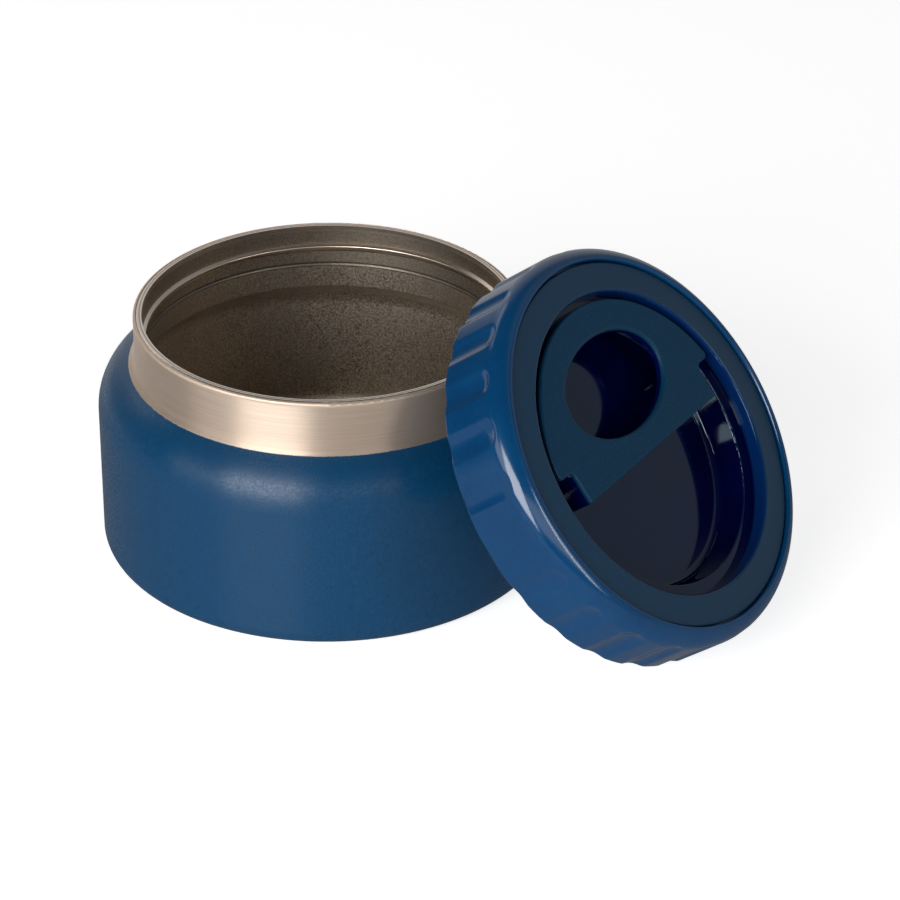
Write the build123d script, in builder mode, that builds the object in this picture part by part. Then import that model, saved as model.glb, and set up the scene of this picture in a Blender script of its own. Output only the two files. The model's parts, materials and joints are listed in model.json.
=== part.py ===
"""Insulated food jar: a double-walled steel jar with its screw lid taken off and leaning on the rim.

The origin is the centre of the jar's base on the table, +Z is up, and sizes are in millimetres.
The lid is drawn in its own plane: x runs across the lid, y up its slope and z out of its top face.
"""
from math import acos, cos, degrees, radians, sin, sqrt
import os

from build123d import *

# ---- jar shell ----
neck_radius = 44.3  # outside of the bare steel neck
shoulder_step = 8.7  # how far the body stands out from the neck
jar_height = 57.6  # table to rim
neck_height = 9.9  # straight stretch of neck under the rim
shoulder_radius = 12.0
neck_foot_radius = 2.9  # hollow curve where the neck meets the shoulder
base_corner_radius = 3.6
shell_wall = 0.6
foot_width = 2.4  # flat ring that the jar stands on

# ---- inner vessel ----
lip_width = 2.0  # both walls together at the rim
lip_depth = 1.0  # rolled lip that closes the gap between the walls
lip_rounding = 0.5
vessel_wall = 0.5
vacuum_gap = 2.5
groove_drop = 10.2  # rim down to the ring groove inside the neck
groove_depth = 0.25
groove_width = 0.7
throat_drop = 16.6  # rim down to the lower edge of the neck's inside
throat_flare = 0.7
ceiling_fall = 5.4  # height of the sloping ceiling behind the throat
ceiling_radius = 5.0
vessel_floor = 4.5  # table to the vessel's inner floor
vessel_corner_radius = 4.0

# ---- base ----
plate_wall = 0.6
plate_recess = 1.6  # how far the base plate stands above the table
plate_slope = 1.4
plate_margin = 0.3
port_radius = 0.9
dimple_radius = 3.0
dimple_depth = 0.7
cover_radius = 9.0
cover_thickness = 0.5
getter_radius = 6.0
getter_thickness = 1.1
getter_offset = 22.0
foil_thickness = 0.2
foil_margin = 1.0  # bare vessel wall between the rounded corner and the foil

# ---- lid ----
skirt_clearance = 0.6  # skirt to neck when the lid is on
skirt_wall = 1.7
skirt_height = 16.7  # groove round the top face down to the open edge
skirt_lip_rounding = 0.5
cap_crown = 1.0  # rounded edge above the groove
cap_edge_radius = 4.7
cap_land = 3.9  # width of the rounded edge seen from above
cap_land_rounding = 0.3
seat_gap = 0.3  # pocket wall to the ledge in the cap that carries the insert
seat_thickness = 1.6
flute_count = 25
flute_radius = 8.0
flute_depth = 0.75
flute_start = 2.1  # groove down to the round top of each flute
flute_phase = 163.4  # degrees round from the lid's x
insert_gap = 0.35  # groove between cap and insert
insert_flange = 1.8
insert_rise = 0.6  # the face swells towards the pocket
insert_edge_rounding = 0.4
ring_width = 7.4  # flat ring between the cap's opening and the pocket
pocket_draft = 0.3
pocket_lip_rounding = 0.8
ledge_depth = 3.15
ledge_width = 3.0
ledge_rounding = 0.4
well_draft = 1.2
floor_drop = 5.0  # hinge line down to the pocket's floor
floor_corner_radius = 1.7
insert_wall = 1.6
plug_clearance = 1.15  # plug to neck, taken up by the screw ridges
plug_wall = 1.8
plug_reach = 6.9  # plug below the open edge of the skirt
plug_edge_radius = 4.0
plug_flange = 2.0
plug_flange_gap = 0.3
plug_dish_radius = 27.0
plug_dish_depth = 0.8
foam_gap = 0.2
gasket_thickness = 1.6
gasket_margin = 0.5

# ---- carry flap ----
flap_gap = 1.6  # flap to pocket wall
flap_drop = 0.1  # groove down to the flap's top
flap_seat_gap = 0.3  # flap to ledge
arm_gap = 3.9  # side arm to the wall of the well
arm_half_length = 4.0  # hinge line to the flap's straight edge, and to where it widens
flap_corner_radius = 1.2
flap_end_rounding = 0.5
flap_top_rounding = 0.5
hole_half_width = 18.2
hole_half_height = 11.0
hole_margin = 7.4  # round edge of the flap to the finger hole
hole_rounding = 0.8
arm_width = 2.2
arm_tip = 2.6  # hinge line down to the end of an arm
arm_corner_radius = 2.2
hinge_across = 2.4  # hinge line, from the lid's centre
hinge_drop = 2.15  # ledge down to the hinge line
pin_radius = 1.2
pin_running_gap = 0.05
pin_seat = 3.4  # pin in the wall of the pocket
boss_wall = 0.9

# ---- how the lid lies ----
lid_heading = -33.84  # direction it faces, degrees round from +X
lid_side_shift = 3.3  # off the jar's centre line
rest_inset = 4.43  # edge of the plug's flat bottom in to where it touches the rim
rest_gap = 0.3  # plug to rim
table_gap = 0.1

# ---- derived sizes ----
body_radius = neck_radius + shoulder_step
neck_foot = jar_height - neck_height
shoulder_turn = acos(max(1 - shoulder_step / (shoulder_radius + neck_foot_radius), 0))
shoulder_foot = neck_foot - (shoulder_radius + neck_foot_radius) * sin(shoulder_turn)
foot_radius = body_radius - base_corner_radius - foot_width
mouth_radius = neck_radius - lip_width
chamber_radius = body_radius - shell_wall - vacuum_gap - vessel_wall
throat_height = jar_height - throat_drop
vessel_underside = vessel_floor - vessel_wall
plug_radius = mouth_radius - plug_clearance
skirt_radius = neck_radius + skirt_clearance
cap_radius = skirt_radius + skirt_wall
opening_radius = cap_radius - cap_land
pocket_radius = opening_radius - ring_width
seat_radius = pocket_radius + insert_wall + seat_gap
seat_depth = insert_flange + seat_thickness
insert_radius = opening_radius - insert_gap
well_radius = pocket_radius - pocket_draft - ledge_width
hinge_depth = ledge_depth + hinge_drop
floor_depth = hinge_depth + floor_drop
plug_depth = skirt_height + plug_reach
flap_radius = pocket_radius - flap_gap
flap_half_width = well_radius - arm_gap
flap_edge = hinge_across - arm_half_length
flap_shoulder = hinge_across + arm_half_length
hole_centre = flap_radius - hole_margin - hole_half_height
arm_depth = hinge_depth + arm_tip
flap_thickness = ledge_depth - flap_seat_gap - flap_drop
pin_inner = flap_half_width - arm_width
plate_radius = body_radius - base_corner_radius - plate_margin
foil_height = throat_height - ceiling_fall - ceiling_radius - vessel_floor - vessel_corner_radius - foil_margin
flute_rise = sqrt(flute_radius**2 - (flute_radius - flute_depth) ** 2)
flange_radius = skirt_radius - plug_flange_gap
gasket_radius = flange_radius - gasket_margin
foam_radius = plug_radius - plug_wall - foam_gap
pin_outer = well_radius + pin_seat

# ---- where the lid is ----


def lay_lid(lean):
    """Lean the lid on the rim: its centre's height and distance, and how far up the rim touches it."""
    height = (
        (skirt_height - skirt_lip_rounding) * sin(lean)
        + (cap_radius - skirt_lip_rounding) * cos(lean)
        + skirt_lip_rounding
        + table_gap
    )
    rim_out = neck_radius - shell_wall + shell_wall * cos(lean)
    rim_up = jar_height - shell_wall + shell_wall * sin(lean)
    rim_reach = rim_out * cos(lean) + rim_up * sin(lean)
    distance = (rim_reach + plug_depth + rest_gap - height * sin(lean)) / cos(lean)
    touch = (distance - rim_out) * sin(lean) + (rim_up - height) * cos(lean)
    return height, distance, touch


# The lean follows from where the plug touches the rim, found by halving the range.
rest_reach = plug_radius - plug_edge_radius - rest_inset
lean_low = radians(5)
lean_high = radians(80)
for halving in range(50):
    lean = (lean_low + lean_high) / 2
    if lay_lid(lean)[2] < rest_reach:
        lean_low = lean
    else:
        lean_high = lean
lid_height, lid_distance, lid_touch = lay_lid(lean)
heading = radians(lid_heading)
lid_axis = Vector(cos(lean) * cos(heading), cos(lean) * sin(heading), sin(lean))
lid_across = Vector(-sin(heading), cos(heading), 0)
lid_centre = (
    Vector(cos(heading), sin(heading), 0) * lid_distance
    + lid_across * lid_side_shift
    + Vector(0, 0, lid_height)
)
lid_plane = Plane(origin=lid_centre, x_dir=lid_across, z_dir=lid_axis)
lid_section = Plane(origin=lid_centre, x_dir=lid_across, z_dir=lid_across.cross(lid_axis))
lid_turn = Axis(lid_centre, lid_axis)
hinge_centre = lid_plane.from_local_coords(Vector(0, hinge_across, -hinge_depth))
hinge_plane = Plane(origin=hinge_centre, x_dir=lid_plane.y_dir, z_dir=lid_across)

os.makedirs("parts", exist_ok=True)


def outline(corners, mode=Mode.ADD):
    """Fill a closed outline given as (radius, height, rounding) corners."""
    points = [(radius, height) for radius, height, rounding in corners]
    roundings = [rounding for radius, height, rounding in corners]
    with BuildLine() as edge:
        FilletPolyline(*points, radius=roundings, close=True)
    make_face(edge.edges(), mode=mode)


def shell_face(inset):
    """Draw one face of the shell wall, from the foot ring up to the rim, set in from the outside."""
    turn = degrees(shoulder_turn)
    corner_centre = (body_radius - base_corner_radius, base_corner_radius)
    shoulder_centre = (body_radius - shoulder_radius, shoulder_foot)
    neck_centre = (neck_radius + neck_foot_radius, neck_foot)
    Line((foot_radius, inset), (corner_centre[0], inset))
    CenterArc(corner_centre, base_corner_radius - inset, -90, 90)
    Line((body_radius - inset, base_corner_radius), (body_radius - inset, shoulder_foot))
    shoulder = CenterArc(shoulder_centre, shoulder_radius - inset, 0, turn)
    foot = CenterArc(neck_centre, neck_foot_radius + inset, 180 + turn, -turn)
    if (shoulder @ 1 - foot @ 0).length > shell_wall / 10:
        Line(shoulder @ 1, foot @ 0)
    Line(foot @ 1, (neck_radius - inset, jar_height - shell_wall))


# ================= jar =================

# Outer shell: body, shoulder and bare neck drawn from one sheet, turned in at the foot.
with BuildPart() as outer_shell:
    with BuildSketch(Plane.XZ):
        with BuildLine():
            shell_face(0)
            shell_face(shell_wall)
            rim_inner = (neck_radius - shell_wall, jar_height - shell_wall)
            CenterArc(rim_inner, shell_wall, 0, 90)
            Line((rim_inner[0], jar_height), rim_inner)
            Line((foot_radius, 0), (foot_radius, shell_wall))
        make_face()
    revolve(axis=Axis.Z)
outer_shell.part.label = "outer_shell"

# Inner vessel: pressed cup whose lip closes the gap at the rim, with a ring groove inside its neck.
with BuildPart() as inner_vessel:
    with BuildSketch(Plane.XZ) as vessel_wall_section:
        groove_height = jar_height - groove_drop
        outline([
            (0, vessel_floor, 0),
            (chamber_radius, vessel_floor, vessel_corner_radius),
            (chamber_radius, throat_height - ceiling_fall, ceiling_radius),
            (mouth_radius + throat_flare, throat_height, 2 * vessel_wall),
            (mouth_radius, groove_height - groove_width / 2, 0),
            (mouth_radius + groove_depth, groove_height, 0),
            (mouth_radius, groove_height + groove_width / 2, 0),
            (mouth_radius, jar_height, 0),
            (0, jar_height, 0),
        ])
        cavity = vessel_wall_section.sketch_local
        offset(amount=vessel_wall, kind=Kind.ARC)
        add(cavity, mode=Mode.SUBTRACT)
        Rectangle(body_radius, jar_height, align=Align.MIN, mode=Mode.INTERSECT)
        outline([
            (mouth_radius, jar_height - lip_depth, 0),
            (neck_radius - shell_wall, jar_height - lip_depth, 0),
            (neck_radius - shell_wall, jar_height, lip_rounding),
            (mouth_radius, jar_height, lip_rounding),
        ])
    revolve(axis=Axis.Z)
inner_vessel.part.label = "inner_vessel"

# Foil wrap: bright sleeve round the vessel, inside the vacuum gap.
with BuildPart() as foil_wrap:
    with BuildSketch(Plane.XZ):
        with Locations((chamber_radius + vessel_wall, vessel_floor + vessel_corner_radius + foil_margin)):
            Rectangle(foil_thickness, foil_height, align=Align.MIN)
    revolve(axis=Axis.Z)
foil_wrap.part.label = "foil_wrap"

# Getter: gas-trapping tablet stuck under the vessel floor.
with BuildPart() as getter:
    with BuildSketch(Plane.XY.offset(vessel_underside)):
        with Locations((getter_offset, 0)):
            Circle(getter_radius)
    extrude(amount=-getter_thickness)
getter.part.label = "getter"

# Base plate: stepped disc on the turned-in foot, with a pumping port in a dimple at its centre.
with BuildPart() as base_plate:
    with BuildSketch(Plane.XZ):
        outline([
            (port_radius, plate_recess + dimple_depth, 0),
            (dimple_radius, plate_recess + dimple_depth, 0),
            (dimple_radius, plate_recess, 0),
            (foot_radius - plate_slope, plate_recess, 0),
            (foot_radius, shell_wall, 0),
            (plate_radius, shell_wall, 0),
            (plate_radius, shell_wall + plate_wall, 0),
            (foot_radius, shell_wall + plate_wall, 0),
            (foot_radius - plate_slope, plate_recess + plate_wall, 0),
            (dimple_radius + plate_wall, plate_recess + plate_wall, 0),
            (dimple_radius + plate_wall, plate_recess + dimple_depth + plate_wall, 0),
            (port_radius, plate_recess + dimple_depth + plate_wall, 0),
        ])
    revolve(axis=Axis.Z)
base_plate.part.label = "base_plate"

# Vacuum seal: braze that fills the dimple and closes the pumping port.
with BuildPart() as vacuum_seal:
    with BuildSketch(Plane.XY.offset(plate_recess)):
        Circle(dimple_radius)
    extrude(amount=dimple_depth)
    with BuildSketch(Plane.XY.offset(plate_recess + dimple_depth)):
        Circle(port_radius)
    extrude(amount=plate_wall)
vacuum_seal.part.label = "vacuum_seal"

# Seal cover: thin disc over the seal, in the recess under the jar.
with BuildPart() as seal_cover:
    with BuildSketch(Plane.XY.offset(plate_recess)):
        Circle(cover_radius)
    extrude(amount=-cover_thickness)
seal_cover.part.label = "seal_cover"

# ================= lid =================

# Lid cap: fluted skirt with a rounded top edge, and a ledge inside that carries the insert.
with BuildPart() as lid_cap:
    with BuildSketch(lid_section) as cap_section:
        outline([
            (seat_radius, cap_crown, 0),
            (cap_radius, cap_crown, cap_edge_radius),
            (cap_radius, -skirt_height, skirt_lip_rounding),
            (skirt_radius, -skirt_height, skirt_lip_rounding),
            (skirt_radius, -seat_depth, 0),
            (seat_radius, -seat_depth, 0),
        ])
        with Locations((seat_radius, -insert_flange)):
            Rectangle(opening_radius - seat_radius, cap_radius, align=Align.MIN, mode=Mode.SUBTRACT)
        fillet(cap_section.vertices().sort_by(Axis.Y)[-1], radius=cap_land_rounding)
    revolve(axis=lid_turn)
    with Locations(lid_plane.offset(-flute_start - flute_rise)):
        with PolarLocations(cap_radius - flute_depth + flute_radius, flute_count, flute_phase):
            Sphere(flute_radius, mode=Mode.SUBTRACT)
            Cylinder(
                flute_radius,
                skirt_height,
                align=(Align.CENTER, Align.CENTER, Align.MAX),
                mode=Mode.SUBTRACT,
            )
lid_cap.part.label = "lid_cap"

# Lid insert: flat ring round a stepped pocket for the carry flap, with bosses for the hinge pins.
with BuildPart() as lid_insert:
    with BuildSketch(lid_section):
        outline([
            (0, -floor_depth, 0),
            (well_radius - well_draft, -floor_depth, floor_corner_radius),
            (well_radius, -ledge_depth, ledge_rounding),
            (pocket_radius - pocket_draft, -ledge_depth, 0),
            (pocket_radius, insert_rise, pocket_lip_rounding),
            (insert_radius, 0, insert_edge_rounding),
            (insert_radius, -insert_flange, 0),
            (pocket_radius + insert_wall, -insert_flange, 0),
            (pocket_radius + insert_wall, -ledge_depth - insert_wall, 0),
            (well_radius + insert_wall, -ledge_depth - insert_wall, 0),
            (well_radius - well_draft + insert_wall, -floor_depth - insert_wall, floor_corner_radius),
            (0, -floor_depth - insert_wall, 0),
        ])
    revolve(axis=lid_turn)
    for side in (hinge_plane, -hinge_plane):
        with BuildSketch(side.offset(well_radius)):
            Circle(pin_radius + boss_wall)
        extrude(amount=pin_seat + boss_wall)
        with BuildSketch(side.offset(pin_outer)):
            Circle(pin_radius)
        extrude(amount=-pin_seat - ledge_width, mode=Mode.SUBTRACT)
lid_insert.part.label = "lid_insert"

# Lid plug: thin-walled cup with a flange under the cap's ledge.
with BuildPart() as lid_plug:
    with BuildSketch(lid_section):
        outline([
            (0, -plug_depth + plug_dish_depth, 0),
            (plug_dish_radius, -plug_depth + plug_dish_depth, 0),
            (plug_dish_radius + plug_dish_depth, -plug_depth, 0),
            (plug_radius, -plug_depth, plug_edge_radius),
            (plug_radius, -seat_depth - plug_flange, 0),
            (flange_radius, -seat_depth - plug_flange, 0),
            (flange_radius, -seat_depth, 0),
            (plug_radius - plug_wall, -seat_depth, 0),
            (plug_radius - plug_wall, -plug_depth + plug_wall, plug_edge_radius - plug_wall),
            (plug_dish_radius + plug_dish_depth, -plug_depth + plug_wall, 0),
            (plug_dish_radius, -plug_depth + plug_dish_depth + plug_wall, 0),
            (0, -plug_depth + plug_dish_depth + plug_wall, 0),
        ])
    revolve(axis=lid_turn)
lid_plug.part.label = "lid_plug"

# Foam puck: insulation inside the plug, under the insert.
with BuildPart() as foam_puck:
    with BuildSketch(lid_section):
        outline([
            (0, -plug_depth + plug_dish_depth + plug_wall, 0),
            (foam_radius, -plug_depth + plug_dish_depth + plug_wall, plug_edge_radius - plug_wall),
            (foam_radius, -floor_depth - insert_wall - foam_gap, 0),
            (0, -floor_depth - insert_wall - foam_gap, 0),
        ])
    revolve(axis=lid_turn)
foam_puck.part.label = "foam_puck"

# Gasket: flat ring under the plug's flange that closes on the jar's rim.
with BuildPart() as lid_gasket:
    with BuildSketch(lid_section):
        outline([
            (plug_radius, -seat_depth - plug_flange, 0),
            (gasket_radius, -seat_depth - plug_flange, 0),
            (gasket_radius, -seat_depth - plug_flange - gasket_thickness, 0),
            (plug_radius, -seat_depth - plug_flange - gasket_thickness, 0),
        ])
    revolve(axis=lid_turn)
lid_gasket.part.label = "lid_gasket"

# Hinge pins: two short steel pins in the pocket wall, one on each side of the flap.
with BuildPart() as hinge_pin_right:
    with BuildSketch(hinge_plane.offset(pin_inner)):
        Circle(pin_radius)
    extrude(amount=pin_outer - pin_inner)
hinge_pin_right.part.label = "hinge_pin_right"

with BuildPart() as hinge_pin_left:
    with BuildSketch(hinge_plane.offset(-pin_inner)):
        Circle(pin_radius)
    extrude(amount=pin_inner - pin_outer)
hinge_pin_left.part.label = "hinge_pin_left"

# ================= carry flap =================

# Carry flap: round-ended plate with an oval finger hole, hung from the pins by two side arms.
with BuildPart() as carry_flap:
    with BuildSketch(lid_plane.offset(-flap_drop)) as flap_plan:
        Circle(flap_radius)
        with Locations((0, flap_edge)):
            Rectangle(
                2 * flap_radius,
                flap_radius,
                align=(Align.CENTER, Align.MAX),
                mode=Mode.SUBTRACT,
            )
        with Locations((flap_half_width, flap_shoulder)):
            Rectangle(flap_radius, flap_radius, align=(Align.MIN, Align.MAX), mode=Mode.SUBTRACT)
        with Locations((-flap_half_width, flap_shoulder)):
            Rectangle(flap_radius, flap_radius, align=Align.MAX, mode=Mode.SUBTRACT)
        fillet(flap_plan.vertices().sort_by(Axis.Y)[2:], radius=flap_corner_radius)
        fillet(flap_plan.vertices().sort_by(Axis.Y)[:2], radius=flap_end_rounding)
    extrude(amount=-flap_thickness)
    with BuildSketch(lid_plane.offset(-flap_drop)):
        with Locations((0, hole_centre)):
            Ellipse(hole_half_width, hole_half_height)
    extrude(amount=-flap_thickness, mode=Mode.SUBTRACT)
    finger_edges = carry_flap.edges().filter_by(GeomType.ELLIPSE)
    fillet(finger_edges, radius=hole_rounding)
    top_face = carry_flap.faces().sort_by(lid_turn)[-1]
    fillet(top_face.outer_wire().edges(), radius=flap_top_rounding)
    with BuildSketch(lid_plane.offset(-flap_drop - flap_thickness)) as arm_plan:
        for arm_centre in (arm_width / 2 - flap_half_width, flap_half_width - arm_width / 2):
            with Locations((arm_centre, flap_edge)):
                Rectangle(arm_width, flap_shoulder - flap_edge, align=(Align.CENTER, Align.MIN))
        arm_ends = arm_plan.vertices().sort_by(Axis.Y)[:4].sort_by(Axis.X)
        fillet([arm_ends[0], arm_ends[-1]], radius=flap_end_rounding)
    extrude(amount=flap_drop + flap_thickness - arm_depth)
    with BuildSketch(hinge_plane) as side_view:
        with Locations((flap_edge - hinge_across, hinge_depth - flap_drop)):
            Rectangle(flap_radius - flap_edge, flap_thickness, align=(Align.MIN, Align.MAX))
            Rectangle(
                flap_shoulder - flap_edge,
                arm_depth - flap_drop,
                align=(Align.MIN, Align.MAX),
            )
        fillet(side_view.vertices().sort_by(Axis.Y)[:2], radius=arm_corner_radius)
    extrude(amount=flap_radius, both=True, mode=Mode.INTERSECT)
    with BuildSketch(hinge_plane):
        Circle(pin_radius + pin_running_gap)
    extrude(amount=flap_radius, both=True, mode=Mode.SUBTRACT)
carry_flap.part.label = "carry_flap"

pieces = (
    outer_shell,
    inner_vessel,
    foil_wrap,
    getter,
    base_plate,
    vacuum_seal,
    seal_cover,
    lid_cap,
    lid_insert,
    lid_plug,
    foam_puck,
    lid_gasket,
    hinge_pin_left,
    hinge_pin_right,
    carry_flap,
)
for piece in pieces:
    export_step(piece.part, f"parts/{piece.part.label}.step")
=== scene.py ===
import json
from math import cos, pi, radians, sin

import bpy
from mathutils import Matrix, Vector


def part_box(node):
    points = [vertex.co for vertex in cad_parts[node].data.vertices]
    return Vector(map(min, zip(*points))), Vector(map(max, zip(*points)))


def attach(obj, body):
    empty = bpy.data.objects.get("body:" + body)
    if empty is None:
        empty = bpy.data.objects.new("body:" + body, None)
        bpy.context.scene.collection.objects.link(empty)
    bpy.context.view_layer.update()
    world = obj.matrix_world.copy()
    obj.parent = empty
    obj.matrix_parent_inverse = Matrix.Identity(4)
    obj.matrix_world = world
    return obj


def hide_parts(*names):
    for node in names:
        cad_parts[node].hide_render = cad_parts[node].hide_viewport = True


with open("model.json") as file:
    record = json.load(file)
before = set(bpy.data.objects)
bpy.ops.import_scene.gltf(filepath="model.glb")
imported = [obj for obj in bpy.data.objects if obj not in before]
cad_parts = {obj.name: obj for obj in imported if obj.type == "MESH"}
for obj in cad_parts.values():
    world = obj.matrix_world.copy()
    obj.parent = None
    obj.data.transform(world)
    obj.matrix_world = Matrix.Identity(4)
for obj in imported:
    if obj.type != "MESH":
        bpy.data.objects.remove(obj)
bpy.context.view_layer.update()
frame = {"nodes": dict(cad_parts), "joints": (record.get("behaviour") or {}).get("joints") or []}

nodes = frame["nodes"]

MM = 0.001

# The lid's own frame: x across the lid, y up its slope, z out of its top face.
hinge = next(joint for joint in frame["joints"] if joint["name"] == "flap_hinge")
lift = next(joint for joint in frame["joints"] if joint["name"] == "lid_off")
LID_X = Vector(hinge["axis"]).normalized()
LID_Z = Vector(lift["axis"]).normalized()
LID_Y = LID_Z.cross(LID_X)
# The flap's hinge lies this far up the slope from the lid's axis, and this far under its top groove.
HINGE_ACROSS = 2.4 * MM
HINGE_DEPTH = 5.3 * MM
LID_CENTRE = Vector(hinge["pos_m"]) - LID_Y * HINGE_ACROSS + LID_Z * HINGE_DEPTH
LID_MATRIX = Matrix((LID_X, LID_Y, LID_Z)).transposed().to_4x4()
LID_MATRIX.translation = LID_CENTRE

# The jar: heights over the table, radii from its axis.
JAR_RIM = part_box("inner_vessel")[1][2]
MOUTH_RADIUS = 42.3 * MM
PAINT_EDGE = 45.2 * MM
PAINT_FADE = 0.1 * MM
PAINT_WOBBLE = 0.06 * MM
GROOVE_DROP = 10.2 * MM
GROOVE_HALF_WIDTH = 0.4 * MM
RIM_SEAM = 42.8 * MM
SEAM_HALF_WIDTH = 0.1 * MM

# Bands of the jar's finishes and of its painted shade: the depths under its rim at which each one begins and
# is complete.
SHELL_LIP = (1.1 * MM, 0.5 * MM)
UPRIGHT_NECK = (1.2 * MM, 2.4 * MM)
POLISHED_LIP = (1.6 * MM, 0.7 * MM)
# Painted shade: the next band darkens the blasted wall just under the rim.
MOUTH_SHADE_BAND = (5.5 * MM, 4.0 * MM)
TURNED_MOUTH = (11.0 * MM, 9.8 * MM)

# Bands of the lid's finishes and of its painted light and shade: radii from its axis for the ring, heights
# over its top groove for the rest.
MATTE_RING = (35.2 * MM, 35.9 * MM)
# The pocket wall band also parts the pocket's painted shade, deep down, from its painted-lit upper wall.
POCKET_WALL = (-3.0 * MM, -2.2 * MM)
# The flap's top band also parts its grained top from the painted shade on its walls.
FLAP_TOP = (-1.3 * MM, -0.8 * MM)

# Screw ridges.
RIDGE_PITCH = 3.0 * MM
JAR_RIDGE_DROP = 7.1 * MM
JAR_RIDGE_START = radians(-110)
PLUG_RADIUS = 41.15 * MM
PLUG_DEPTH = 23.6 * MM
PLUG_RIDGE_LIFT = 7.7 * MM
RIDGE_STEPS = 160
RIDGE_FADE = 0.06
RIDGE_END_SCALE = 0.12
RIDGE_ROUNDING = 0.35

# The lid cap's section, in its own frame: distance from the axis, and height over the groove.
CAP_RADIUS = 46.58 * MM
CAP_EDGE = 4.7 * MM
CAP_CROWN = 0.98 * MM
SKIRT_RADIUS = 44.9 * MM
SKIRT_FOOT = -16.7 * MM
SKIRT_LIP = 0.5 * MM
OPENING_RADIUS = 42.7 * MM
OPENING_ROUNDING = 0.9 * MM
SEAT_RADIUS = 37.2 * MM
SEAT_TOP = -1.8 * MM
SEAT_FOOT = -3.4 * MM
EDGE_TURN = 78.0
EDGE_STEPS = 30
LIP_STEPS = 5
WALL_STEPS = 16
ROUNDING_STEPS = 6

# The cap's flutes, each pressed in by an upright rod with a round top.
FLUTES = 25
FLUTE_RADIUS = 8.0 * MM
FLUTE_DEPTH = 0.75 * MM
FLUTE_START = 2.1 * MM
FLUTE_SOFTNESS = 0.45 * MM
FIRST_FLUTE = radians(163.4)
STEPS_IN_FLUTE = 28
WELD = 0.002 * MM
CAP_SHARP_ANGLE = radians(40)

# Colours of the finishes, linear red, green and blue.
COAT_DARK = (0.0006, 0.033, 0.088)
COAT_LIGHT = (0.0046, 0.068, 0.168)
COAT_DRIFT = (0.0022, 0.049, 0.126)
NECK_DARK = (0.76, 0.60, 0.475)
NECK_LIGHT = (0.93, 0.76, 0.62)
BLASTED_DARK = (0.31, 0.26, 0.205)
BLASTED_LIGHT = (0.68, 0.585, 0.48)
BLASTED_DRIFT = (0.50, 0.425, 0.345)
# Painted shade laid over the blasted wall just under the rim.
BLASTED_MOUTH_SHADE = (0.28, 0.235, 0.19)
GROOVE_SHADE = (0.16, 0.135, 0.11)
# The polished lip's colours, lifted well above the blasted wall's as a painted highlight.
LIP_HIGHLIGHT_DARK = (0.80, 0.70, 0.60)
LIP_HIGHLIGHT_LIGHT = (0.92, 0.82, 0.73)
SEAM_SHADE = (0.14, 0.12, 0.10)
RING_DARK = (0.0011, 0.021, 0.060)
RING_LIGHT = (0.0023, 0.036, 0.088)
RING_DRIFT = (0.0014, 0.026, 0.070)
# Pocket colours: painted shade deep in the pocket, and a lighter, painted-lit blue on its upper wall.
POCKET_SHADE_DARK = (0.0001, 0.0009, 0.024)
POCKET_SHADE_LIGHT = (0.0002, 0.0018, 0.038)
POCKET_WALL_LIT_BLUE = (0.0012, 0.0195, 0.099)
POCKET_SHEEN = (0.68, 0.90, 1.0, 1.0)
FLAP_DARK = (0.0010, 0.028, 0.070)
FLAP_LIGHT = (0.0040, 0.047, 0.104)
FLAP_DRIFT = (0.0020, 0.036, 0.082)
# The flap's walls: a far darker copy of its plastic, as painted shade.
FLAP_WALL_SHADE_DARK = (0.0003, 0.0024, 0.046)
FLAP_WALL_SHADE_LIGHT = (0.0005, 0.0036, 0.060)

# Brushed steel: the turn that stands its stretched highlight upright, across the lines.
BRUSHED_ROTATION = 0.25
# How fast a line changes on its way round, in X and Y, against how fast it does across, in Z.
BRUSHED_STREAK = (2.2, 2.2, 1.0)
NECK_METALLIC = 0.8
NECK_ANISOTROPY = 0.95
NECK_STRAIGHTENED = 0.8
# Relief of the neck's lines, of its step down from the coat and of the lip's seam, times the grain's depth.
NECK_LINE_RELIEF = 0.12
NECK_BELOW_COAT = -1.2
SEAM_RELIEF = 2.0
# Times a place, this drops the height and leaves the level offset from the jar's axis.
LEVEL = (1.0, 1.0, 0.0)

# Studio floor: its colour and its glow, by the kind of ray that meets it.
WHITE = (1.0, 1.0, 1.0)
FLOOR_REACH = 6.0
FLOOR_COLOUR_UNSEEN = 0.34
FLOOR_COLOUR_SEEN = 0.66
FLOOR_GLOW_SEEN = 0.76
FLOOR_GLOW_DIFFUSE = 0.57
FLOOR_MIRRORED_NEAR = 0.06
FLOOR_MIRRORED_FAR = 0.4
FLOOR_BACK = (0.08, 0.14)

# Studio room: its strength low and high, and what mirrored rays meet in it.
ROOM_LOW = 0.175
ROOM_HIGH = 0.027
ROOM_FADE = (0.0, 0.8)
ROOM_MIRRORED = 0.033
PAPER_MIRRORED = 0.58
PAPER_BACK = (0.55, 0.92)
PAPER_FOOT = (-0.5, -0.3)
CARD_MIRRORED = 0.28
CARD_AIM = (0.90, 0.28, 0.34)
CARD_SPREAD = (0.55, 0.92)
CARD_TINT = (0.88, 0.95, 1.0)

# Lamps and camera.
LAMP_DISTANCE = 1.4
LAMP_TARGET = Vector((0.03, -0.02, 0.03))
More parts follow.
